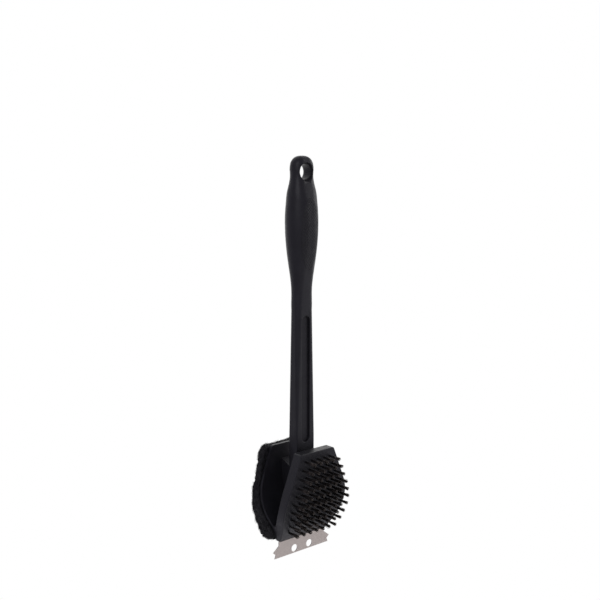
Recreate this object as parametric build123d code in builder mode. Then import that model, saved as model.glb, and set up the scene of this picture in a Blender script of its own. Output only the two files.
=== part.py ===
"""Two-sided grill cleaning brush: bristle plate in front, scouring pad behind, scraper below.

The frame: origin at the centre of the hanging eye, +Z up along the handle, -Y the bristle side.
Heights are given up from the scraper's edge and turned into Z by at().
"""
from build123d import *
import math
import os

os.makedirs("parts", exist_ok=True)

# ---------------------------------------------------------------- driving dimensions, mm
EYE_HEIGHT = 423.5        # scraper's edge to the eye's centre
EYE_HOLE_R = 8.4
EYE_HOLE_LENGTH = 9.0     # straight stretch of the hole, before it flares
EYE_FLARE_R = 7.0
EYE_WIDEST = 425.5        # height where the eye is widest and its crown starts
EYE_HALF_WIDTH = 13.6
EYE_HALF_DEPTH = 9.5
EYE_CORNER = 0.93         # corner radius of the eye's sections, as a share of their half depth
EYE_CROWN = 15.0          # rise of the crown above that
CROWN_ANGLES = (88, 76, 60, 40, 20, 0)
CROWN_POWER = 0.8         # squares the crown's outline off a little; 1 is an ellipse

HEAD_TOP = 121.6          # top edge of both plates
NOSE_TIP = 18.4           # underside of the nose, where the scraper comes out
HEAD_TOP_HALF_WIDTH = 24.2
HEAD_CORNER_R = 3.0
SHOULDER = (38.6, 85.0)   # half width and height where the straight side ends
WAIST = (44.0, 62.0)      # widest point
HIP = (41.0, 42.0)        # where the side turns in towards the nose
NOSE_HALF_WIDTH = 34.0

FACE_TOP_Y = -27.2        # bristle face at its top edge
FACE_Y = -27.8            # bristle face where it starts to curve back
FACE_BEND = 90.0          # height where it starts to curve back
NOSE_FRONT_Y = -1.9
NOSE_BACK_Y = 3.0
POCKET_FRONT_Y = -15.9    # inside wall of the bristle plate
POCKET_FRONT_BEND = 82.0
POCKET_BACK_Y = 21.8      # inside wall of the pad plate
BACK_Y = 24.8             # outside wall of the pad plate
BACK_BEND = 104.0         # height where the pad plate starts to lean in
BACK_FOOT = (5.8, 36.4)   # (Y, height) where the pad plate's curve ends
KEEL = (3.2, 30.0)        # (Y, height) where the pad plate meets the nose
POCKET_FLOOR = 38.2       # bottom of the pocket between the plates
POCKET_FLOOR_Y = (-2.4, 1.6)
EDGE_R = 1.2              # rounding round the bristle face

SHANK_HALF_WIDTH = 12.9   # handle's lower end, which is also its tongue in the head
SHANK_HALF_DEPTH = 7.0
SHANK_CORNER_R = 1.8
SHANK_FOOT = 134.0        # height where the taper ends
TONGUE_END = 50.0
SOCKET_GAP = 0.05         # clearance each side of the tongue
SADDLE_HALF_WIDTH = 10.7
SADDLE_TOP = 105.0        # rear saddle at the pad plate
SADDLE_LIP = 98.0         # rear saddle at the shank
FRONT_SADDLE_TOP = 114.0
FRONT_SADDLE_LIP = 108.0

GROOVE_TOP = 268.5
GROOVE_BOTTOM = 127.5
GROOVE_WIDTH = 11.3
GROOVE_DEPTH = 2.6
GROOVE_LIP_R = 0.7

PANEL_HEIGHT = 357.5      # centre of the soft grip panels
PANEL_HALF_WIDTH = 11.6
PANEL_HALF_HEIGHT = 38.5
PANEL_THICKNESS = 1.8
CAVITY_WALL = 5.5         # plastic left round the gas-formed hollow in the grip
GAS_PIN_R = 1.5

TUFT_ROWS = 10
TUFT_TOP_ROW = 112.8
TUFT_ROW_PITCH = 9.1
TUFT_PITCH = 8.6          # widest spacing aimed at along a row
TUFT_EDGE_MARGIN = 10.1   # outermost tuft to the plate's side
TUFT_LENGTH = 16.2        # out of the face
TUFT_ROOT_R = 1.2
TUFT_COLLAR = 1.6         # straight stretch out of the hole, before the wires splay
TUFT_TIP_R = 1.8
TUFT_HOLE_DEPTH = 5.5
STAPLE = (3.6, 1.5, 0.5)  # across the hole, along it, and the wire's thickness

BLADE_THICKNESS = 0.8
BLADE_TANG_TOP = 34.0
BLADE_TANG_HALF_WIDTH = 28.0
BLADE_HALF_WIDTH = 33.5
BLADE_HOLE_X = 10.95
BLADE_HOLE_HEIGHT = 5.5
BLADE_HOLE_R = 4.2
BLADE_SHOULDER = 13.5

PAD_TOP = 120.0
PAD_TOE = 21.4            # height of the pad's lower end, against the nose
PAD_HEEL = (25.0, 15.2)   # (Y, height) of its lower outside corner
PAD_HEEL_R = 4.0
PAD_OVERHANG = 2.0        # beyond the plate's sides
PAD_TOP_OVERHANG = 7.5    # beyond the plate's sides at the top
PAD_CORNER_R = 9.5
PAD_TOP_Y = 36.5          # pad's outer face at its top, (Y, height) at its middle and above its heel
PAD_MIDDLE = (33.6, 88.0)
PAD_LOW = (31.6, 44.0)
PAD_EDGE_R = 2.5
GLUE_THICKNESS = 0.6
GLUE_INSET = 3.0
GLUE_TOP = 117.0
GLUE_FOOT = 42.0

HANDLE_SCREW_HEIGHTS = (62.0, 92.0)
HANDLE_SCREW_R = 2.0
HANDLE_SCREW_HEAD_R = 4.0
HANDLE_SCREW_HEAD_H = 2.6
HANDLE_SCREW_TIP_Y = -12.5
BLADE_SCREW_X = 19.0
BLADE_SCREW_HEIGHT = 27.0
BLADE_SCREW_R = 1.25
BLADE_SCREW_HEAD_R = 2.5
BLADE_SCREW_HEAD_H = 1.2
BLADE_SCREW_TIP_Y = -5.5
SCREW_CLEARANCE = 0.2

REACH = 60.0              # further than any wall, for cuts that go right through

# Grip and shank sections: height, half width, half depth, corner radius
GRIP_SECTIONS = [
    (EYE_WIDEST, EYE_HALF_WIDTH, EYE_HALF_DEPTH, EYE_CORNER * EYE_HALF_DEPTH),
    (420.0, 13.2, 9.3, 8.6),
    (415.5, 13.4, 9.6, 8.8),
    (410.0, 14.2, 10.8, 9.6),
    (404.0, 15.5, 12.4, 10.9),
    (398.0, 16.4, 14.0, 12.6),
    (388.0, 17.3, 15.3, 14.2),
    (370.0, 18.1, 16.5, 15.5),
    (350.0, 17.3, 15.8, 14.7),
    (330.0, 15.3, 13.4, 12.3),
    (310.0, 12.7, 10.0, 9.0),
    (292.0, 11.7, 7.9, 6.8),
    (275.0, 11.6, 7.4, 5.8),
]
CAVITY_SECTIONS = GRIP_SECTIONS[5:11]


def at(height):
    """Z of a height above the scraper's edge."""
    return height - EYE_HEIGHT


def crown_section(angle):
    """Section of the eye's crown, at an angle round its outline from the widest point."""
    across = math.cos(math.radians(angle)) ** CROWN_POWER
    up = math.sin(math.radians(angle)) ** CROWN_POWER
    half_depth = EYE_HALF_DEPTH * across
    return EYE_WIDEST + EYE_CROWN * up, EYE_HALF_WIDTH * across, half_depth, EYE_CORNER * half_depth


def bend_radius(drop, shift):
    """Radius of an arc that starts vertical and moves sideways by shift over drop."""
    return (drop**2 + shift**2) / (2 * shift)


FACE_R = bend_radius(FACE_BEND - NOSE_TIP, NOSE_FRONT_Y - FACE_Y)
BACK_R = bend_radius(BACK_BEND - BACK_FOOT[1], BACK_Y - BACK_FOOT[0])


def sag(radius, below):
    """How far such an arc has moved sideways at a distance below its start."""
    return radius - math.sqrt(radius**2 - max(below, 0) ** 2)


def face_y(height):
    """Y of the bristle face."""
    lean = (FACE_TOP_Y - FACE_Y) * max(height - FACE_BEND, 0) / (HEAD_TOP - FACE_BEND)
    return FACE_Y + lean + sag(FACE_R, FACE_BEND - height)


def back_y(height):
    """Y of the outside wall behind: nose, keel, then the pad plate's curve."""
    straights = [(NOSE_BACK_Y, NOSE_TIP), KEEL, BACK_FOOT]
    for (y0, h0), (y1, h1) in zip(straights, straights[1:]):
        if height <= h1:
            return y0 + (y1 - y0) * (height - h0) / (h1 - h0)
    return BACK_Y - sag(BACK_R, BACK_BEND - height)


def head_half_width(height):
    """Half width of the head's outline, by straight stretches."""
    outline = [(NOSE_HALF_WIDTH, NOSE_TIP), HIP, WAIST, SHOULDER, (HEAD_TOP_HALF_WIDTH, HEAD_TOP)]
    for (x0, h0), (x1, h1) in zip(outline, outline[1:]):
        if height <= h1:
            return x0 + (x1 - x0) * (height - h0) / (h1 - h0)
    return HEAD_TOP_HALF_WIDTH


def lofted(sections, inset=0.0):
    """Solid through rounded sections, each drawn in by inset."""
    with BuildPart() as body:
        for height, half_width, half_depth, corner in sections:
            with BuildSketch(Plane.XY.offset(at(height))):
                RectangleRounded(
                    2 * (half_width - inset),
                    2 * (half_depth - inset),
                    corner - inset,
                )
        loft()
    return body.part


def outline_prism(grow=0.0, top=HEAD_TOP, top_grow=0.0, foot=NOSE_TIP, corner=HEAD_CORNER_R):
    """The head's front outline, carried right through from front to back."""
    right = [
        (HEAD_TOP_HALF_WIDTH + top_grow, at(top)),
        (SHOULDER[0] + grow, at(SHOULDER[1])),
        (WAIST[0] + grow, at(WAIST[1])),
        (HIP[0] + grow, at(HIP[1])),
        (NOSE_HALF_WIDTH + grow, at(foot)),
    ]
    left = [(-x, z) for x, z in right]
    with BuildPart() as prism:
        with BuildSketch(Plane.XZ) as sketch:
            with BuildLine():
                for top, shoulder, waist, hip, nose in (right, left):
                    Line(top, shoulder)
                    ThreePointArc(shoulder, waist, hip)
                    Line(hip, nose)
                Line(left[0], right[0])
                Line(left[-1], right[-1])
            make_face()
            fillet(sketch.vertices().group_by(Axis.Z)[-1], corner)
        extrude(amount=REACH, both=True)
    return prism.part


def save(part, name):
    part.label = name
    export_step(part, f"parts/{name}.step")


# ---------------------------------------------------------------- where the tufts stand
def tuft_row(index):
    """Height of a row and the X of each of its tufts."""
    height = TUFT_TOP_ROW - index * TUFT_ROW_PITCH
    extent = head_half_width(height) - TUFT_EDGE_MARGIN
    count = round(2 * extent / TUFT_PITCH) + 1
    return height, [extent * (2 * i / (count - 1) - 1) for i in range(count)]


def tuft_places(index):
    height, columns = tuft_row(index)
    return [Location((x, face_y(height), at(height))) for x in columns]


# One tuft, its hole and its staple, each drawn with the face at Y = 0 and the tip towards -Y.
with BuildPart() as staple:
    with Locations((0, TUFT_HOLE_DEPTH - STAPLE[1] / 2, 0)):
        Box(*STAPLE)

with BuildPart() as tuft:
    with BuildSketch(Plane.XY):
        with BuildLine():
            Polyline(
                (0, TUFT_HOLE_DEPTH),
                (TUFT_ROOT_R, TUFT_HOLE_DEPTH),
                (TUFT_ROOT_R, -TUFT_COLLAR),
                (TUFT_TIP_R, -TUFT_LENGTH),
                (0, -TUFT_LENGTH),
                close=True,
            )
        make_face()
    revolve(axis=Axis.Y)
    add(staple.part, mode=Mode.SUBTRACT)

with BuildPart() as tuft_hole:
    with BuildSketch(Plane.XZ.offset(-TUFT_HOLE_DEPTH)):
        Circle(TUFT_ROOT_R)
    extrude(amount=3 * TUFT_HOLE_DEPTH)
    add(staple.part)

# ---------------------------------------------------------------- soft grip panels
grip = lofted(GRIP_SECTIONS)
grip_core = lofted(GRIP_SECTIONS, inset=PANEL_THICKNESS)


def grip_panel(outward):
    """Oval skin let into the grip; outward is the side of the grip, -1 front and 1 back."""
    with BuildPart() as panel:
        add(grip)
        with BuildSketch(Plane.XZ):
            with Locations((0, at(PANEL_HEIGHT))):
                Ellipse(PANEL_HALF_WIDTH, PANEL_HALF_HEIGHT)
        extrude(amount=-outward * REACH, mode=Mode.INTERSECT)
        add(grip_core, mode=Mode.SUBTRACT)
    return panel.part


grip_panel_front = grip_panel(-1)
grip_panel_back = grip_panel(1)
save(grip_panel_front, "grip_panel_front")
save(grip_panel_back, "grip_panel_back")

# ---------------------------------------------------------------- handle
def is_groove_lip(edge):
    """Whether an edge of the shank is the rounded mouth of a groove."""
    middle = edge.center()
    across = abs(middle.X) < GROOVE_WIDTH / 2 + 0.1
    along = at(GROOVE_BOTTOM) - 1 < middle.Z < at(GROOVE_TOP) + 1
    return across and along and abs(middle.Y) > SHANK_HALF_DEPTH - GROOVE_DEPTH + 0.5


# the hole through the eye, flaring out front and back
with BuildPart() as eye_hole:
    with BuildSketch(Plane.XY):
        with BuildLine():
            flare_foot = EYE_HOLE_LENGTH / 2
            flare_top = flare_foot + EYE_FLARE_R
            for side in (-1, 1):
                Line((0, side * flare_top), (EYE_HOLE_R + EYE_FLARE_R, side * flare_top))
                RadiusArc(
                    (EYE_HOLE_R, side * flare_foot),
                    (EYE_HOLE_R + EYE_FLARE_R, side * flare_top),
                    side * EYE_FLARE_R,
                )
            Line((EYE_HOLE_R, -flare_foot), (EYE_HOLE_R, flare_foot))
            Line((0, -flare_top), (0, flare_top))
        make_face()
    revolve(axis=Axis.Y)

with BuildPart() as handle:
    add(grip)
    add(lofted([crown_section(angle) for angle in CROWN_ANGLES]))
    add(eye_hole.part, mode=Mode.SUBTRACT)

    # shank: straight taper, then the tongue that the head takes
    top_height, top_half_width, top_half_depth, top_corner = GRIP_SECTIONS[-1]
    with BuildSketch(Plane.XY.offset(at(top_height))):
        RectangleRounded(2 * top_half_width, 2 * top_half_depth, top_corner)
    with BuildSketch(Plane.XY.offset(at(SHANK_FOOT))) as foot:
        RectangleRounded(2 * SHANK_HALF_WIDTH, 2 * SHANK_HALF_DEPTH, SHANK_CORNER_R)
    loft(ruled=True)
    extrude(foot.sketch, amount=TONGUE_END - SHANK_FOOT)

    # obround grooves that thin the shank, front and back
    for side in (-1, 1):
        floor = Plane.XZ.offset(-side * (SHANK_HALF_DEPTH - GROOVE_DEPTH))
        with BuildSketch(floor):
            with Locations((0, at((GROOVE_TOP + GROOVE_BOTTOM) / 2))):
                SlotOverall(GROOVE_TOP - GROOVE_BOTTOM, GROOVE_WIDTH, rotation=90)
        extrude(amount=-side * REACH, mode=Mode.SUBTRACT)
    fillet(handle.edges().filter_by(is_groove_lip), GROOVE_LIP_R)

    # recesses for the panels, and the gas-formed hollow with its pin hole under the front panel
    add(grip_panel_front, mode=Mode.SUBTRACT)
    add(grip_panel_back, mode=Mode.SUBTRACT)
    add(lofted(CAVITY_SECTIONS, inset=CAVITY_WALL), mode=Mode.SUBTRACT)
    with BuildSketch(Plane.XZ):
        with Locations((0, at(PANEL_HEIGHT))):
            Circle(GAS_PIN_R)
    extrude(amount=REACH, mode=Mode.SUBTRACT)

    # screw holes through the tongue
    with BuildSketch(Plane.XZ):
        with Locations(*[(0, at(height)) for height in HANDLE_SCREW_HEIGHTS]):
            Circle(HANDLE_SCREW_R + SCREW_CLEARANCE)
    extrude(amount=REACH, both=True, mode=Mode.SUBTRACT)
save(handle.part, "handle")


# ---------------------------------------------------------------- screws
def screw(head_y, tip_y, shank_r, head_r, head_h):
    """Pan-head screw along Y whose head bears on head_y, with a cross recess."""
    with BuildPart() as body:
        with BuildSketch(Plane.XY):
            with BuildLine():
                Polyline(
                    (0, tip_y),
                    (shank_r, tip_y + shank_r),
                    (shank_r, head_y),
                    (head_r, head_y),
                    (head_r, head_y + 0.6 * head_h),
                    (0.7 * head_r, head_y + head_h),
                    (0, head_y + head_h),
                    close=True,
                )
            make_face()
        revolve(axis=Axis.Y)
        with BuildSketch(Plane.XZ.offset(-(head_y + 0.4 * head_h))):
            Rectangle(1.1 * head_r, 0.25 * head_r)
            Rectangle(0.25 * head_r, 1.1 * head_r)
        extrude(amount=-head_h, mode=Mode.SUBTRACT)
    return body.part


def screw_seat(height, head_r, head_h):
    """Y of a screw head's bearing face, so that the whole head lies under the wall's surface."""
    return back_y(height - head_r) - head_h - SCREW_CLEARANCE


handle_screw_seats = [
    screw_seat(height, HANDLE_SCREW_HEAD_R, HANDLE_SCREW_HEAD_H) for height in HANDLE_SCREW_HEIGHTS
]
blade_screw_seat = screw_seat(BLADE_SCREW_HEIGHT, BLADE_SCREW_HEAD_R, BLADE_SCREW_HEAD_H)

with BuildPart() as handle_screws:
    for height, seat in zip(HANDLE_SCREW_HEIGHTS, handle_screw_seats):
        shape = screw(
            seat, HANDLE_SCREW_TIP_Y, HANDLE_SCREW_R, HANDLE_SCREW_HEAD_R, HANDLE_SCREW_HEAD_H
        )
        with Locations((0, 0, at(height))):
            add(shape)
save(handle_screws.part, "handle_screws")

blade_screw = screw(
    blade_screw_seat, BLADE_SCREW_TIP_Y, BLADE_SCREW_R, BLADE_SCREW_HEAD_R, BLADE_SCREW_HEAD_H
)
with BuildPart() as scraper_screws:
    for side in (-1, 1):
        with Locations((side * BLADE_SCREW_X, 0, at(BLADE_SCREW_HEIGHT))):
            add(blade_screw)
save(scraper_screws.part, "scraper_screws")

# ---------------------------------------------------------------- head
def is_bristle_face(face):
    """Whether a face of the head is the front of the bristle plate."""
    return face.center().Y < face_y(60) and abs(face.normal_at().Y) > 0.7


front_pocket_top = (POCKET_FRONT_Y, at(HEAD_TOP) + 1)
front_pocket_bend = (POCKET_FRONT_Y, at(POCKET_FRONT_BEND))
front_pocket_foot = (POCKET_FLOOR_Y[0], at(POCKET_FLOOR))
back_pocket_bend = (POCKET_BACK_Y, at(BACK_BEND))
back_pocket_foot = (POCKET_FLOOR_Y[1], at(POCKET_FLOOR))

with BuildPart() as head_frame:
    # the two plates and the nose, in side view
    with BuildSketch(Plane.YZ):
        with BuildLine():
            Line((FACE_TOP_Y, at(HEAD_TOP)), (FACE_Y, at(FACE_BEND)))
            TangentArc((FACE_Y, at(FACE_BEND)), (NOSE_FRONT_Y, at(NOSE_TIP)), tangent=(0, -1))
            Line((NOSE_FRONT_Y, at(NOSE_TIP)), (NOSE_BACK_Y, at(NOSE_TIP)))
            Line((NOSE_BACK_Y, at(NOSE_TIP)), (KEEL[0], at(KEEL[1])))
            Line((KEEL[0], at(KEEL[1])), (BACK_FOOT[0], at(BACK_FOOT[1])))
            TangentArc((BACK_Y, at(BACK_BEND)), (BACK_FOOT[0], at(BACK_FOOT[1])), tangent=(0, -1))
            Line((BACK_Y, at(BACK_BEND)), (BACK_Y, at(HEAD_TOP)))
            Line((BACK_Y, at(HEAD_TOP)), (FACE_TOP_Y, at(HEAD_TOP)))
        make_face()
    extrude(amount=REACH, both=True)
    with BuildSketch(Plane.YZ) as pocket:
        with BuildLine():
            Line(front_pocket_top, front_pocket_bend)
            TangentArc(front_pocket_bend, front_pocket_foot, tangent=(0, -1))
            Line(front_pocket_foot, back_pocket_foot)
            TangentArc(back_pocket_bend, back_pocket_foot, tangent=(0, -1))
            Line(back_pocket_bend, (POCKET_BACK_Y, at(HEAD_TOP) + 1))
            Line((POCKET_BACK_Y, at(HEAD_TOP) + 1), front_pocket_top)
        make_face()
        fillet(pocket.vertices().group_by(Axis.Y)[0], 1.2)
    extrude(amount=REACH, both=True, mode=Mode.SUBTRACT)
    add(outline_prism(), mode=Mode.INTERSECT)
    fillet(head_frame.faces().filter_by(is_bristle_face).edges(), EDGE_R)

    # saddles that hold the tongue, each ramped down towards it: the front one as wide as the shank
    with BuildSketch(Plane.YZ):
        with BuildLine():
            Polyline(
                (POCKET_FRONT_Y - 1, at(FRONT_SADDLE_TOP)),
                (POCKET_FRONT_Y, at(FRONT_SADDLE_TOP)),
                (-SHANK_HALF_DEPTH - SOCKET_GAP, at(FRONT_SADDLE_LIP)),
                (-SHANK_HALF_DEPTH - SOCKET_GAP, at(POCKET_FLOOR)),
                (POCKET_FRONT_Y - 1, at(POCKET_FRONT_BEND)),
                close=True,
            )
        make_face()
    extrude(amount=SHANK_HALF_WIDTH, both=True)
    with BuildSketch(Plane.YZ):
        with BuildLine():
            Polyline(
                (SHANK_HALF_DEPTH + SOCKET_GAP, at(SADDLE_LIP)),
                (POCKET_BACK_Y + 1, at(SADDLE_TOP)),
                (POCKET_BACK_Y + 1, at(SADDLE_TOP - 4)),
                (back_y(75) - 1, at(75)),
                (SHANK_HALF_DEPTH + SOCKET_GAP, at(POCKET_FLOOR)),
                close=True,
            )
        make_face()
    extrude(amount=SADDLE_HALF_WIDTH, both=True)

    # holes and staple slots for the tufts
    for index in range(TUFT_ROWS):
        with Locations(*tuft_places(index)):
            add(tuft_hole.part, mode=Mode.SUBTRACT)

    # screw holes: clearance behind the tongue and the blade, thread-forming in front of them
    for height, seat in zip(HANDLE_SCREW_HEIGHTS, handle_screw_seats):
        with BuildSketch(Plane.XZ.offset(-seat)):
            with Locations((0, at(height))):
                Circle(HANDLE_SCREW_HEAD_R + SCREW_CLEARANCE)
        extrude(amount=-REACH, mode=Mode.SUBTRACT)
        with BuildSketch(Plane.XZ):
            with Locations((0, at(height))):
                Circle(HANDLE_SCREW_R + SCREW_CLEARANCE)
        extrude(amount=-REACH, mode=Mode.SUBTRACT)
        with BuildSketch(Plane.XZ):
            with Locations((0, at(height))):
                Circle(HANDLE_SCREW_R)
        extrude(amount=-HANDLE_SCREW_TIP_Y, mode=Mode.SUBTRACT)
    blade_screw_places = [(side * BLADE_SCREW_X, at(BLADE_SCREW_HEIGHT)) for side in (-1, 1)]
    with BuildSketch(Plane.XZ.offset(-blade_screw_seat)):
        with Locations(*blade_screw_places):
            Circle(BLADE_SCREW_HEAD_R + SCREW_CLEARANCE)
    extrude(amount=-REACH, mode=Mode.SUBTRACT)
    with BuildSketch(Plane.XZ):
        with Locations(*blade_screw_places):
            Circle(BLADE_SCREW_R)
    extrude(amount=-blade_screw_seat, mode=Mode.SUBTRACT)
    with BuildSketch(Plane.XZ):
        with Locations(*blade_screw_places):
            Circle(BLADE_SCREW_R)
    extrude(amount=-BLADE_SCREW_TIP_Y, mode=Mode.SUBTRACT)

    # slot for the scraper's tang
    with BuildSketch(Plane.XY.offset(at(NOSE_TIP))):
        Rectangle(2 * BLADE_TANG_HALF_WIDTH, BLADE_THICKNESS)
    extrude(amount=BLADE_TANG_TOP - NOSE_TIP, mode=Mode.SUBTRACT)
save(head_frame.part, "head_frame")

# ---------------------------------------------------------------- scraper
with BuildPart() as scraper:
    with BuildSketch(Plane.XZ.offset(-BLADE_THICKNESS / 2)):
        with BuildLine():
            half = [
                (BLADE_TANG_HALF_WIDTH, BLADE_TANG_TOP),
                (BLADE_TANG_HALF_WIDTH, NOSE_TIP),
                (BLADE_HALF_WIDTH, NOSE_TIP),
                (BLADE_HALF_WIDTH, BLADE_SHOULDER),
                (41.4, 7.4),
                (37.9, 4.2),
                (39.4, 0.0),
            ]
            right = [(x, at(height)) for x, height in half]
            left = [(-x, z) for x, z in reversed(right)]
            Polyline(*right, *left, close=True)
        make_face()
        with Locations(*[(side * BLADE_HOLE_X, at(BLADE_HOLE_HEIGHT)) for side in (-1, 1)]):
            Circle(BLADE_HOLE_R, mode=Mode.SUBTRACT)
        with Locations(*[(side * BLADE_SCREW_X, at(BLADE_SCREW_HEIGHT)) for side in (-1, 1)]):
            Circle(BLADE_SCREW_R + SCREW_CLEARANCE, mode=Mode.SUBTRACT)
    extrude(amount=BLADE_THICKNESS)
save(scraper.part, "scraper")


# ---------------------------------------------------------------- pad and its glue
def behind(offset, height):
    """Y at a distance outside the pad plate's curve."""
    return BACK_Y - BACK_R + math.sqrt((BACK_R + offset) ** 2 - (BACK_BEND - height) ** 2)


with BuildPart() as pad_glue:
    with BuildSketch(Plane.YZ):
        with BuildLine():
            for offset in (0.0, GLUE_THICKNESS):
                bend = (BACK_Y + offset, at(BACK_BEND))
                Line((BACK_Y + offset, at(GLUE_TOP)), bend)
                TangentArc(bend, (behind(offset, GLUE_FOOT), at(GLUE_FOOT)), tangent=(0, -1))
            Line((BACK_Y, at(GLUE_TOP)), (BACK_Y + GLUE_THICKNESS, at(GLUE_TOP)))
            Line((behind(0, GLUE_FOOT), at(GLUE_FOOT)), (behind(GLUE_THICKNESS, GLUE_FOOT), at(GLUE_FOOT)))
        make_face()
    extrude(amount=REACH, both=True)
    add(outline_prism(-GLUE_INSET, top_grow=-GLUE_INSET), mode=Mode.INTERSECT)
save(pad_glue.part, "pad_glue")

pad_inner_y = BACK_Y + GLUE_THICKNESS
pad_bend = (pad_inner_y, at(BACK_BEND))
pad_inner_foot = (behind(GLUE_THICKNESS, BACK_FOOT[1]), at(BACK_FOOT[1]))
pad_keel = (KEEL[0] + GLUE_THICKNESS, at(KEEL[1]))
pad_toe = (back_y(PAD_TOE) + GLUE_THICKNESS, at(PAD_TOE))
pad_heel = (PAD_HEEL[0], at(PAD_HEEL[1]))
pad_low = (PAD_LOW[0], at(PAD_LOW[1]))

pad_outline = outline_prism(PAD_OVERHANG, PAD_TOP, PAD_TOP_OVERHANG, PAD_HEEL[1], PAD_CORNER_R)

with BuildPart() as scouring_pad:
    with BuildSketch(Plane.YZ) as pad_side:
        with BuildLine():
            Line((pad_inner_y, at(PAD_TOP)), pad_bend)
            TangentArc(pad_bend, pad_inner_foot, tangent=(0, -1))
            Line(pad_inner_foot, pad_keel)
            Line(pad_keel, pad_toe)
            Line(pad_toe, pad_heel)
            TangentArc(pad_low, pad_heel, tangent=(0, -1))
            ThreePointArc(pad_low, (PAD_MIDDLE[0], at(PAD_MIDDLE[1])), (PAD_TOP_Y, at(PAD_TOP)))
            Line((PAD_TOP_Y, at(PAD_TOP)), (pad_inner_y, at(PAD_TOP)))
        make_face()
        fillet(pad_side.vertices().group_by(Axis.Y)[0], PAD_HEEL_R)
    extrude(amount=REACH, both=True)
    add(pad_outline, mode=Mode.INTERSECT)
    fillet(scouring_pad.edges().group_by(Axis.Y)[-1], PAD_EDGE_R)
save(scouring_pad.part, "scouring_pad")

# ---------------------------------------------------------------- bristles and their staples
for index in range(TUFT_ROWS):
    with BuildPart() as bristle_row:
        with Locations(*tuft_places(index)):
            add(tuft.part)
    save(bristle_row.part, f"bristle_row_{index + 1:02d}")

    with BuildPart() as staple_row:
        with Locations(*tuft_places(index)):
            add(staple.part)
    save(staple_row.part, f"staple_row_{index + 1:02d}")
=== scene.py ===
"""Looks of a two-sided grill cleaning brush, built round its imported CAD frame.

Metres, origin at the centre of the hanging eye, +Z up along the handle, -Y the bristle side.
"""
import math

import bmesh
import bpy
import numpy as np
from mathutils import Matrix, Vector, noise
from mathutils.bvhtree import BVHTree


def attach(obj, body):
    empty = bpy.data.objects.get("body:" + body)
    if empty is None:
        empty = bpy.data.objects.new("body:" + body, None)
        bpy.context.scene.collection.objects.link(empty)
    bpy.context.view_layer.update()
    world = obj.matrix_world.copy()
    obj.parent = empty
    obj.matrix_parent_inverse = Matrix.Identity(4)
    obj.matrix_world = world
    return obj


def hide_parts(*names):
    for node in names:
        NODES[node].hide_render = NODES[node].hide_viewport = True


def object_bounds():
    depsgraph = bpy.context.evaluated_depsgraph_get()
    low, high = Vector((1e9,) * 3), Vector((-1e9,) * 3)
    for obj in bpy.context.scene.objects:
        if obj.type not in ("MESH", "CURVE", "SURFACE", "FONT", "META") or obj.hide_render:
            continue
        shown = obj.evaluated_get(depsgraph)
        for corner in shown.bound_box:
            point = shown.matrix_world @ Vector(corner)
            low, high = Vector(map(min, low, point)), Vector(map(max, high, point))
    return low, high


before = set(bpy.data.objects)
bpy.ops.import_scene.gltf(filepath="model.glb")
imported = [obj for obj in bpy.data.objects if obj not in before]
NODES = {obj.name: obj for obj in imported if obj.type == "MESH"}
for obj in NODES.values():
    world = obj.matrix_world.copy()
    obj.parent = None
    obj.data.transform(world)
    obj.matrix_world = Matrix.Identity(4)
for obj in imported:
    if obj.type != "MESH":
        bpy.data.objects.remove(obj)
cad_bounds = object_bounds()

MM = 0.001
SEED = 7
BODY = "root"
ROWS = sorted(name for name in NODES if name.startswith("bristle_row"))
STAPLES = sorted(name for name in NODES if name.startswith("staple_row"))


# ---------------------------------------------------------------- camera, light and floor
CAMERA_AZIMUTH = math.radians(-41.0)
CAMERA_YAW = math.radians(-40.9)
CAMERA_PITCH = math.radians(7.87)
CAMERA_DISTANCE = 0.9875
CAMERA_LENS = 54.96
CAMERA_DROP = 1.8 * MM
FLOOR_GAP = 0.5
FLOOR_RADIUS = 1.0
FLOOR_MIDDLE = (0.35, -0.55)
FLOOR_GLOW = 0.1
ROOM_LIGHT = (0.22, 0.21, 0.26)
SWEEP_LIGHT = (1.2, 1.2, 1.2)
SWEEP_RANGE = (0.62, 0.95)    # where it fades in; 0 is towards the camera, 1 straight behind the brush
LIGHTS = {
    "key": ((-1.6, -0.9, 0.9), (1.2, 1.2), 5, (0.95, 0.94, 1.0)),
    "rim": ((1.3, -0.5, 0.3), (0.3, 1.0), 2.5, (1, 1, 1)),
    "fill": ((1.0, -1.15, -0.2), (1.0, 1.4), 0.9, (1.0, 0.97, 0.97)),
}


def make_camera():
    data = bpy.data.cameras.new("camera")
    data.lens = CAMERA_LENS
    data.sensor_width = 36
    data.clip_start = 0.01
    data.clip_end = 50
    camera = bpy.data.objects.new("camera", data)
    camera.location = (
        CAMERA_DISTANCE * math.sin(CAMERA_AZIMUTH),
        -CAMERA_DISTANCE * math.cos(CAMERA_AZIMUTH),
        -CAMERA_DROP,
    )
    camera.rotation_euler = (math.pi / 2 - CAMERA_PITCH, 0, CAMERA_YAW)
    bpy.context.scene.collection.objects.link(camera)
    bpy.context.scene.camera = camera


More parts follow.
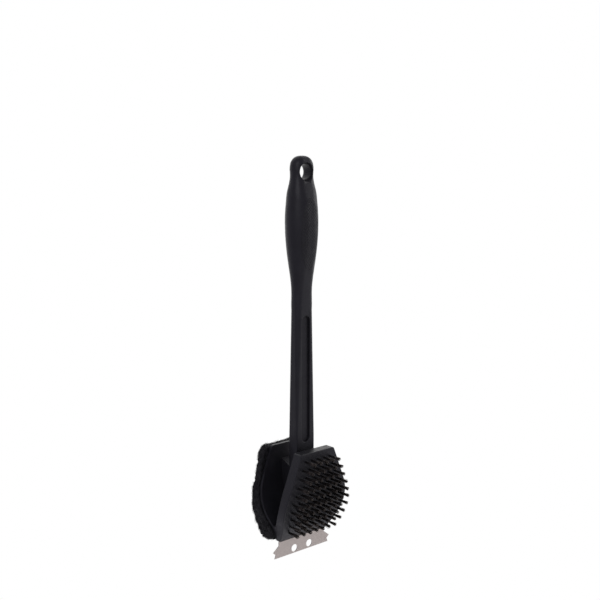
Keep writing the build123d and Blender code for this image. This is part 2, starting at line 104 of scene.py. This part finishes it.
def make_world():
    """White to the camera; to everything else a white sweep behind the brush and a dim room in front."""
    world = bpy.data.worlds.new("studio")
    world.use_nodes = True
    nodes, links = world.node_tree.nodes, world.node_tree.links
    nodes.clear()
    out = nodes.new("ShaderNodeOutputWorld")
    mix = nodes.new("ShaderNodeMixShader")
    path = nodes.new("ShaderNodeLightPath")
    seen = nodes.new("ShaderNodeBackground")
    seen.inputs["Color"].default_value = (1, 1, 1, 1)
    lit = nodes.new("ShaderNodeBackground")
    direction = nodes.new("ShaderNodeTexCoord")
    towards_sweep = nodes.new("ShaderNodeVectorMath")
    towards_sweep.operation = "DOT_PRODUCT"
    towards_sweep.inputs[1].default_value = (-math.sin(CAMERA_AZIMUTH), math.cos(CAMERA_AZIMUTH), 0)
    room = nodes.new("ShaderNodeValToRGB")
    elements = room.color_ramp.elements
    elements[0].position, elements[1].position = SWEEP_RANGE
    elements[0].color = (*ROOM_LIGHT, 1)
    elements[1].color = (*SWEEP_LIGHT, 1)
    half = nodes.new("ShaderNodeMapRange")
    half.inputs["From Min"].default_value = -1
    links.new(direction.outputs["Generated"], towards_sweep.inputs[0])
    links.new(towards_sweep.outputs["Value"], half.inputs["Value"])
    links.new(half.outputs["Result"], room.inputs["Fac"])
    links.new(room.outputs["Color"], lit.inputs["Color"])
    links.new(path.outputs["Is Camera Ray"], mix.inputs[0])
    links.new(lit.outputs[0], mix.inputs[1])
    links.new(seen.outputs[0], mix.inputs[2])
    links.new(mix.outputs[0], out.inputs["Surface"])
    bpy.context.scene.world = world


def area_light(name, place, target, size, power, colour):
    data = bpy.data.lights.new(name, "AREA")
    data.shape = "RECTANGLE"
    data.size, data.size_y = size
    data.energy = power
    data.color = colour
    light = bpy.data.objects.new(name, data)
    light.location = place
    light.rotation_euler = (Vector(target) - Vector(place)).to_track_quat("-Z", "Y").to_euler()
    bpy.context.scene.collection.objects.link(light)


# ---------------------------------------------------------------- materials
def new_material(name):
    material = bpy.data.materials.new(name)
    material.use_nodes = True
    tree = material.node_tree
    shader = tree.nodes["Principled BSDF"]
    return material, tree, shader


def noise_field(tree, scale, detail, stretch=(1, 1, 1)):
    """Noise over the piece's own metres; scale is features per metre."""
    place = tree.nodes.new("ShaderNodeTexCoord")
    mapping = tree.nodes.new("ShaderNodeMapping")
    mapping.inputs["Scale"].default_value = [scale * s for s in stretch]
    field = tree.nodes.new("ShaderNodeTexNoise")
    field.inputs["Scale"].default_value = 1.0
    field.inputs["Detail"].default_value = detail
    tree.links.new(place.outputs["Object"], mapping.inputs["Vector"])
    tree.links.new(mapping.outputs["Vector"], field.inputs["Vector"])
    return field.outputs["Fac"]


def ramp(tree, value, stops):
    """Colour ramp over value; stops are (position, grey or colour)."""
    node = tree.nodes.new("ShaderNodeValToRGB")
    elements = node.color_ramp.elements
    while len(elements) < len(stops):
        elements.new(0.5)
    for element, (position, colour) in zip(elements, stops):
        element.position = position
        rgb = (colour,) * 3 if isinstance(colour, (int, float)) else colour
        element.color = (*rgb, 1)
    tree.links.new(value, node.inputs["Fac"])
    return node.outputs["Color"]


def bump(tree, shader, height, strength, distance):
    node = tree.nodes.new("ShaderNodeBump")
    node.inputs["Strength"].default_value = strength
    node.inputs["Distance"].default_value = distance
    tree.links.new(height, node.inputs["Height"])
    tree.links.new(node.outputs["Normal"], shader.inputs["Normal"])


def moulded_plastic(name, dark, light, smooth, rough):
    """Black polypropylene: fine spark-eroded grain, slow patches of polish."""
    material, tree, shader = new_material(name)
    patches = noise_field(tree, 60, 4)
    tree.links.new(ramp(tree, patches, [(0.3, dark), (0.7, light)]), shader.inputs["Base Color"])
    polish = noise_field(tree, 150, 5)
    tree.links.new(ramp(tree, polish, [(0.3, smooth), (0.7, rough)]), shader.inputs["Roughness"])
    bump(tree, shader, noise_field(tree, 3500, 2), 0.25, 0.05 * MM)
    return material


def brushed_steel():
    material, tree, shader = new_material("stainless")
    shader.inputs["Metallic"].default_value = 1.0
    grain = noise_field(tree, 250, 4, (1, 8, 14))
    stops = [(0.3, (0.68, 0.615, 0.55)), (0.7, (0.80, 0.725, 0.65))]
    tree.links.new(ramp(tree, grain, stops), shader.inputs["Base Color"])
    tree.links.new(ramp(tree, grain, [(0.3, 0.30), (0.7, 0.42)]), shader.inputs["Roughness"])
    bump(tree, shader, grain, 0.2, 0.03 * MM)
    return material


def bristle_wire():
    material, tree, shader = new_material("bristle_wire")
    shader.inputs["Metallic"].default_value = 0.85
    along = tree.nodes.new("ShaderNodeAttribute")
    along.attribute_name = "along"
    blotch = noise_field(tree, 900, 3)
    add = tree.nodes.new("ShaderNodeMath")
    add.operation = "MULTIPLY_ADD"
    add.inputs[1].default_value = 0.5
    tree.links.new(blotch, add.inputs[0])
    tree.links.new(along.outputs["Fac"], add.inputs[2])
    # Base colour along each wire: painted shade, darker towards the roots where the tuft shades itself, and
    # a painted highlight, lighter tan towards the tips; the blotch noise adds uneven tone.
    stops = [(0.2, (0.06, 0.058, 0.056)), (0.75, (0.10, 0.092, 0.084)), (1.0, (0.20, 0.175, 0.15))]
    tree.links.new(ramp(tree, add.outputs[0], stops), shader.inputs["Base Color"])
    tree.links.new(ramp(tree, blotch, [(0.3, 0.32), (0.7, 0.55)]), shader.inputs["Roughness"])
    return material


def scouring_fibre():
    material, tree, shader = new_material("scouring_fibre")
    clumps = noise_field(tree, 500, 4)
    tree.links.new(ramp(tree, clumps, [(0.3, 0.005), (0.75, 0.014)]), shader.inputs["Base Color"])
    tree.links.new(ramp(tree, clumps, [(0.3, 0.5), (0.7, 0.8)]), shader.inputs["Roughness"])
    bump(tree, shader, noise_field(tree, 1500, 4), 0.6, 0.3 * MM)
    return material


def plated_steel(name, colour, rough):
    material, tree, shader = new_material(name)
    shader.inputs["Metallic"].default_value = 1.0
    speck = noise_field(tree, 1200, 3)
    low = tuple(0.85 * c for c in colour)
    tree.links.new(ramp(tree, speck, [(0.3, low), (0.7, colour)]), shader.inputs["Base Color"])
    tree.links.new(ramp(tree, speck, [(0.3, rough), (0.7, rough + 0.15)]), shader.inputs["Roughness"])
    return material


def hot_melt():
    material, tree, shader = new_material("hot_melt")
    flow = noise_field(tree, 300, 3)
    stops = [(0.3, (0.30, 0.26, 0.18)), (0.7, (0.42, 0.38, 0.28))]
    tree.links.new(ramp(tree, flow, stops), shader.inputs["Base Color"])
    shader.inputs["Roughness"].default_value = 0.35
    bump(tree, shader, flow, 0.5, 0.2 * MM)
    return material


def make_stage():
    """A round pale floor in front of the brush, and three soft lights."""
    low, high = (Vector(corner) for corner in cad_bounds)
    middle = (low + high) / 2
    bpy.ops.mesh.primitive_circle_add(vertices=96, radius=FLOOR_RADIUS, fill_type="NGON")
    floor = bpy.context.object
    floor.name = "floor"
    floor.location = (*FLOOR_MIDDLE, low.z - FLOOR_GAP)
    material, tree, shader = new_material("floor_paint")
    patches = noise_field(tree, 3, 2)
    tree.links.new(ramp(tree, patches, [(0.3, 0.86), (0.7, 0.9)]), shader.inputs["Base Color"])
    shader.inputs["Roughness"].default_value = 0.9
    shader.inputs["Specular IOR Level"].default_value = 0.0
    shader.inputs["Emission Color"].default_value = (1, 1, 1, 1)
    shader.inputs["Emission Strength"].default_value = FLOOR_GLOW
    floor.data.materials.append(material)
    for name, (place, size, power, colour) in LIGHTS.items():
        area_light(name, place, middle, size, power, colour)


make_camera()
make_world()
make_stage()
bpy.context.scene.view_settings.view_transform = "Standard"

PLASTIC = moulded_plastic("black_plastic", (0.017, 0.017, 0.019), (0.023, 0.023, 0.026), 0.36, 0.48)
RUBBER = moulded_plastic("grip_rubber", (0.018, 0.018, 0.019), (0.025, 0.025, 0.026), 0.52, 0.66)
STEEL = brushed_steel()
WIRE = bristle_wire()
FIBRE = scouring_fibre()
SCREW = plated_steel("zinc_plate", (0.55, 0.55, 0.57), 0.3)
STAPLE = plated_steel("staple_steel", (0.45, 0.44, 0.42), 0.35)
GLUE = hot_melt()


def read(items, name, width=1, kind=float):
    """One property of every item in a Blender collection, as an array with a row for each."""
    values = np.empty(len(items) * width, dtype=kind)
    items.foreach_get(name, values)
    return values.reshape(-1, width) if width > 1 else values


def dress(obj, material, slot):
    obj.data.materials.clear()
    obj.data.materials.append(material)


def new_piece(name, verts, faces, material, slot, stands_for):
    """A mesh piece in place of a CAD node, with its material."""
    mesh = bpy.data.meshes.new(name)
    mesh.from_pydata(verts.tolist(), [], faces.tolist())
    mesh.polygons.foreach_set("use_smooth", [True] * len(mesh.polygons))
    piece = bpy.data.objects.new(name, mesh)
    bpy.context.scene.collection.objects.link(piece)
    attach(piece, BODY)
    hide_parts(stands_for)
    dress(piece, material, slot)
    return piece


def node_points(node):
    obj = NODES[node]
    turn = np.array(obj.matrix_world.to_3x3())
    return read(obj.data.vertices, "co", 3) @ turn.T + np.array(obj.matrix_world.translation)


def node_tree(*names):
    """Ray-casting tree of CAD nodes taken together, in world metres."""
    points, triangles = [], []
    for name in names:
        mesh = NODES[name].data
        mesh.calc_loop_triangles()
        first = len(points)
        points += node_points(name).tolist()
        triangles += [tuple(first + corner for corner in t.vertices) for t in mesh.loop_triangles]
    return BVHTree.FromPolygons(points, triangles)


# ---------------------------------------------------------------- rounded mouldings
SHARP_ANGLE = math.radians(32)    # a steeper crease stays crisp
SAME_PLACE = 0.001 * MM           # corners this close share a point


def build_moulding(node, name, material, slot):
    """The CAD surface with its shallow creases blended, so that light runs evenly over its faces."""
    mesh = bpy.data.meshes.new_from_object(NODES[node])
    normals = read(mesh.corner_normals, "vector", 3)
    corner_verts = read(mesh.loops, "vertex_index", kind=int)
    places = np.round(read(mesh.vertices, "co", 3)[corner_verts] / SAME_PLACE)
    meeting = np.unique(places, axis=0, return_inverse=True)[1].ravel()
    order = np.argsort(meeting)
    even = np.empty_like(normals)
    for corners in np.split(order, np.flatnonzero(np.diff(meeting[order])) + 1):
        here = normals[corners]
        alike = here @ here.T > math.cos(SHARP_ANGLE)
        even[corners] = alike @ here
    even /= np.linalg.norm(even, axis=1, keepdims=True)
    mesh.normals_split_custom_set(even.tolist())
    piece = bpy.data.objects.new(name, mesh)
    bpy.context.scene.collection.objects.link(piece)
    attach(piece, BODY)
    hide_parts(node)
    dress(piece, material, slot)


# ---------------------------------------------------------------- thin wires and fibres as tubes
def tubes(paths, radii, sides):
    """One mesh of many round strands. paths is (strand, ring, 3), radii is (strand, ring)."""
    count, rings, _ = paths.shape
    along = np.gradient(paths, axis=1)
    along /= np.linalg.norm(along, axis=2, keepdims=True) + 1e-12
    helper = np.where(np.abs(along[..., 2:3]) < 0.9, [[[0.0, 0.0, 1.0]]], [[[1.0, 0.0, 0.0]]])
    across = np.cross(along, helper)
    across /= np.linalg.norm(across, axis=2, keepdims=True) + 1e-12
    up = np.cross(across, along)
    turn = np.linspace(0, 2 * math.pi, sides, endpoint=False)
    circle = np.cos(turn)[:, None] * across[:, :, None, :] + np.sin(turn)[:, None] * up[:, :, None, :]
    verts = paths[:, :, None, :] + radii[:, :, None, None] * circle
    strand, ring, side = np.indices((count, rings - 1, sides))

    def index(ring, side):
        return (strand * rings + ring) * sides + side % sides

    corners = [index(ring, side), index(ring, side + 1), index(ring + 1, side + 1), index(ring + 1, side)]
    walls = np.stack(corners, -1)
    return verts.reshape(-1, 3), walls.reshape(-1, 4)


# ---------------------------------------------------------------- wire bristles
WIRES_PER_TUFT = 26
WIRE_R = 0.19 * MM
WIRE_RINGS = 6
WIRE_SIDES = 6
TUFT_HOLE_DEPTH = 5.5 * MM
TUFT_DEPTH = 2.0 * MM      # how far the wires are drawn into the hole
TUFT_ROOT_SPREAD = 0.95 * MM
TUFT_TIP_SPREAD = 1.75 * MM
TUFT_TIP_RAGGED = 0.45 * MM
TUFT_GAP = 1.5 * MM        # a step in X wider than this starts the next tuft
TUFT_LEAN = 0.25 * MM
SPLAY_POWER = 1.4          # the wires splay mostly near their tips
WIRE_BOW = 0.12 * MM
WIRE_STRAY = 0.10          # how unevenly the wires splay, as a share of the spread
ODD_WIRE_CHANCE = 0.03
ODD_WIRE_STRAY = 0.5
GOLDEN_TURN = math.pi * (3 - math.sqrt(5))


def tuft_spots(row):
    """Middle X, middle Z, tip Y and root Y of each tuft in a CAD row."""
    points = node_points(row)
    order = np.argsort(points[:, 0])
    points = points[order]
    gaps = np.where(np.diff(points[:, 0]) > TUFT_GAP)[0] + 1
    for tuft in np.split(points, gaps):
        low, high = tuft.min(axis=0), tuft.max(axis=0)
        yield (low[0] + high[0]) / 2, (low[2] + high[2]) / 2, low[1], high[1] - TUFT_HOLE_DEPTH


def build_row(row, rng):
    paths, radii = [], []
    for x, z, tip_y, root_y in tuft_spots(row):
        start = root_y + TUFT_DEPTH
        lean = rng.normal(0, TUFT_LEAN, 2)
        spin = rng.uniform(0, 2 * math.pi)
        for k in range(WIRES_PER_TUFT):
            share = math.sqrt((k + 0.5) / WIRES_PER_TUFT)
            angle = spin + k * GOLDEN_TURN
            stray = 1 + abs(rng.normal(0, WIRE_STRAY))
            if rng.random() < ODD_WIRE_CHANCE:
                stray += ODD_WIRE_STRAY
            spread = np.array([math.cos(angle), math.sin(angle)]) * share
            end = tip_y + rng.uniform(0, 1) * TUFT_TIP_RAGGED
            bow = rng.normal(0, WIRE_BOW, 2)
            path = np.empty((WIRE_RINGS, 3))
            for i in range(WIRE_RINGS):
                t = i / (WIRE_RINGS - 1)
                reach = TUFT_ROOT_SPREAD + (TUFT_TIP_SPREAD - TUFT_ROOT_SPREAD) * t**SPLAY_POWER
                offset = spread * reach * (1 + (stray - 1) * t)
                offset += lean * t**2 + bow * math.sin(math.pi * t)
                path[i] = (x + offset[0], start + (end - start) * t, z + offset[1])
            paths.append(path)
    paths = np.array(paths)
    radii = np.full(paths.shape[:2], WIRE_R)
    verts, walls = tubes(paths, radii, WIRE_SIDES)
    count = len(paths)
    last = (np.arange(count) * WIRE_RINGS + WIRE_RINGS - 1)[:, None] * WIRE_SIDES
    caps = last + np.arange(WIRE_SIDES)[::-1]
    piece = new_piece(f"wires_{row[-2:]}", verts, walls, WIRE, "bristle_wire", row)
    mesh = piece.data
    bm = bmesh.new()
    bm.from_mesh(mesh)
    bm.verts.ensure_lookup_table()
    for cap in caps:
        face = bm.faces.new([bm.verts[int(i)] for i in cap])
        face.smooth = False
    bm.to_mesh(mesh)
    bm.free()
    # Position along each wire, 0 at the root and 1 at the tip; the wire material uses it to paint shade at
    # the roots and lighter tips.
    along = np.tile(np.repeat(np.linspace(0, 1, WIRE_RINGS), WIRE_SIDES), count)
    mesh.attributes.new("along", "FLOAT", "POINT").data.foreach_set("value", along)


# ---------------------------------------------------------------- knurled grip panels
KNURL_PITCH = 3.4 * MM
KNURL_HEIGHT = 0.28 * MM
KNURL_STEEPNESS = 1.7      # above 1, the diamonds have flat tops
PANEL_RIM = 1.1 * MM       # plain border round the knurl
PANEL_LAND = 0.10 * MM     # how far the border stands up
PANEL_SINK = 0.18 * MM     # how far the panel's very edge dips, a thin line round it
PANEL_SLOPE = 0.4 * PANEL_RIM    # width of the slopes beside the border
PANEL_DEPTH = 1.7 * MM
PANEL_SHARE = (0.998, 0.999)     # of the CAD panel's width and height, a hair's gap to the grip
RAY_START = 100 * MM
PANEL_ROWS = 300
PANEL_COLUMNS = 130


def triangle_wave(value):
    return 1 - np.abs(2 * (value - np.floor(value)) - 1)


def build_panel(node, outward):
    """Skin of the grip with raised diamonds, following the CAD panel; outward is its side along Y."""
    points = node_points(node)
    low, high = points.min(axis=0), points.max(axis=0)
    middle_z = (low[2] + high[2]) / 2
    half_height = (high[2] - low[2]) / 2
    half_width = (high[0] - low[0]) / 2
    tree = node_tree(node, "handle")
    outer = np.empty((PANEL_ROWS, PANEL_COLUMNS, 3))
    normal = np.empty((PANEL_ROWS, PANEL_COLUMNS, 3))
    for i in range(PANEL_ROWS):
        up = PANEL_SHARE[1] * math.sin(math.pi * (i / (PANEL_ROWS - 1) - 0.5))
        z = middle_z + half_height * up
        half = PANEL_SHARE[0] * half_width * math.sqrt(1 - up**2)
        for j in range(PANEL_COLUMNS):
            x = half * math.sin(math.pi * (j / (PANEL_COLUMNS - 1) - 0.5))
            hit = tree.ray_cast(Vector((x, outward * RAY_START, z)), Vector((0, -outward, 0)))
            outer[i, j] = hit[0]
            normal[i, j] = hit[1]
    step = np.linalg.norm(np.diff(outer, axis=1), axis=2)
    arc = np.concatenate([np.zeros((PANEL_ROWS, 1)), np.cumsum(step, axis=1)], axis=1)
    arc -= arc[:, -1:] / 2
    rise = outer[..., 2] - middle_z
    radial = np.hypot(outer[..., 0] / half_width, rise / half_height)
    slope = np.hypot(outer[..., 0] / half_width**2, rise / half_height**2)
    inside = (1 - radial) * radial / slope

    ridges = triangle_wave((arc + rise) / KNURL_PITCH)
    crossing = triangle_wave((arc - rise) / KNURL_PITCH)
    knurl = KNURL_HEIGHT * np.clip(KNURL_STEEPNESS * np.minimum(ridges, crossing), 0, 1)
    rim = np.clip(inside / PANEL_SLOPE, 0, 1)
    field = np.clip((inside - PANEL_RIM) / PANEL_SLOPE, 0, 1)
    height = (PANEL_SINK + PANEL_LAND) * rim - PANEL_SINK + (knurl - PANEL_LAND) * field
    top = outer + normal * height[..., None]
    under = outer - normal * PANEL_DEPTH
    verts = np.concatenate([top.reshape(-1, 3), under.reshape(-1, 3)])
    grid = np.arange(PANEL_ROWS * PANEL_COLUMNS).reshape(PANEL_ROWS, PANEL_COLUMNS)
    sheet = np.stack([grid[:-1, :-1], grid[:-1, 1:], grid[1:, 1:], grid[1:, :-1]], -1).reshape(-1, 4)
    loop = np.concatenate([grid[0, :-1], grid[:-1, -1], grid[-1, :0:-1], grid[:0:-1, 0]])
    ahead = np.roll(loop, -1)
    shift = grid.size
    wall = np.stack([ahead, loop, loop + shift, ahead + shift], -1)
    faces = np.concatenate([sheet, sheet[:, ::-1] + shift, wall])
    if outward > 0:
        faces = faces[:, ::-1]
    new_piece(node.replace("grip_panel", "knurled_panel"), verts, faces, RUBBER, "grip_rubber", node)


# ---------------------------------------------------------------- scouring pad
PAD_VOXEL = 0.9 * MM
PAD_SWELL = 0.5 * MM
LUMP_SIZE = 5 * MM
LUMP_HEIGHT = 0.9 * MM
PIT_SIZE = 1.6 * MM
PIT_DEPTH = 1.1 * MM
PAD_FIBRES = 9000
FIBRE_RINGS = 6
FIBRE_SIDES = 3
FIBRE_R = 0.11 * MM
FIBRE_LENGTH = (3.0, 7.0)      # millimetres
FIBRE_CURL = 1.4
FIBRE_CROWN = 1.6 * MM         # how far the loosest fibres arch off the body
FIBRE_SINK = 0.35 * MM         # how deep the ends go into it


def build_pad_body():
    """Matted non-woven block, lumpy and pitted."""
    cad = NODES["scouring_pad"]
    mesh = bpy.data.meshes.new_from_object(cad)
    body = bpy.data.objects.new("matted_pad", mesh)
    bpy.context.scene.collection.objects.link(body)
    remesh = body.modifiers.new("even", "REMESH")
    remesh.mode = "VOXEL"
    remesh.voxel_size = PAD_VOXEL
    depsgraph = bpy.context.evaluated_depsgraph_get()
    even = bpy.data.meshes.new_from_object(body.evaluated_get(depsgraph))
    body.modifiers.clear()
    body.data = even
    bm = bmesh.new()
    bm.from_mesh(even)
    bmesh.ops.smooth_vert(bm, verts=bm.verts, factor=0.5, use_axis_x=True, use_axis_y=True, use_axis_z=True)
    bm.normal_update()
    for vert in bm.verts:
        place = vert.co
        lumps = noise.fractal(place / LUMP_SIZE, 1.0, 2.0, 4) * LUMP_HEIGHT
        pits = abs(noise.noise(place / PIT_SIZE)) * PIT_DEPTH
        vert.co = place + vert.normal * (lumps - pits + PAD_SWELL)
    bm.to_mesh(even)
    bm.free()
    even.polygons.foreach_set("use_smooth", [True] * len(even.polygons))
    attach(body, BODY)
    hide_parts("scouring_pad")
    dress(body, FIBRE, "scouring_fibre")
    return body


def build_pad_fibres(body, rng):
    """Tangle of stiff curled fibres over the pad's body."""
    faces = body.data.polygons
    areas = read(faces, "area")
    chosen = rng.choice(len(faces), PAD_FIBRES, p=areas / areas.sum())
    start = read(faces, "center", 3)[chosen]
    out = read(faces, "normal", 3)[chosen]
    drift = np.cross(out, rng.normal(size=out.shape))
    drift /= np.linalg.norm(drift, axis=1, keepdims=True)
    bend = np.cross(out, drift)
    length = rng.uniform(*FIBRE_LENGTH, PAD_FIBRES)[:, None] * MM
    curl = rng.uniform(-FIBRE_CURL, FIBRE_CURL, PAD_FIBRES)[:, None]
    crown = rng.uniform(0.1, 1.0, PAD_FIBRES)[:, None] ** 2 * FIBRE_CROWN
    paths = np.empty((PAD_FIBRES, FIBRE_RINGS, 3))
    for i in range(FIBRE_RINGS):
        t = i / (FIBRE_RINGS - 1) - 0.5
        arch = crown * (1 - 4 * t**2) - FIBRE_SINK
        sway = curl * (t**2 - 0.08)
        paths[:, i] = start + drift * length * t + bend * length * sway + out * arch
    radii = np.full(paths.shape[:2], FIBRE_R) * rng.uniform(0.7, 1.3, PAD_FIBRES)[:, None]
    verts, walls = tubes(paths, radii, FIBRE_SIDES)
    new_piece("pad_fibres", verts, walls, FIBRE, "scouring_fibre", "scouring_pad")


# ---------------------------------------------------------------- put together
PLAIN_NODES = {
    "head_frame": (PLASTIC, "head_plastic"),
    "scraper": (STEEL, "stainless"),
    "pad_glue": (GLUE, "glue"),
    "handle_screws": (SCREW, "zinc_screw"),
    "scraper_screws": (SCREW, "zinc_screw"),
}
for name, (material, slot) in PLAIN_NODES.items():
    dress(NODES[name], material, slot)
for name in STAPLES:
    dress(NODES[name], STAPLE, "staple_wire")

rng = np.random.default_rng(SEED)
for name in ROWS:
    build_row(name, rng)
build_moulding("handle", "moulded_handle", PLASTIC, "handle_plastic")
build_panel("grip_panel_front", -1)
build_panel("grip_panel_back", 1)
build_pad_fibres(build_pad_body(), rng)
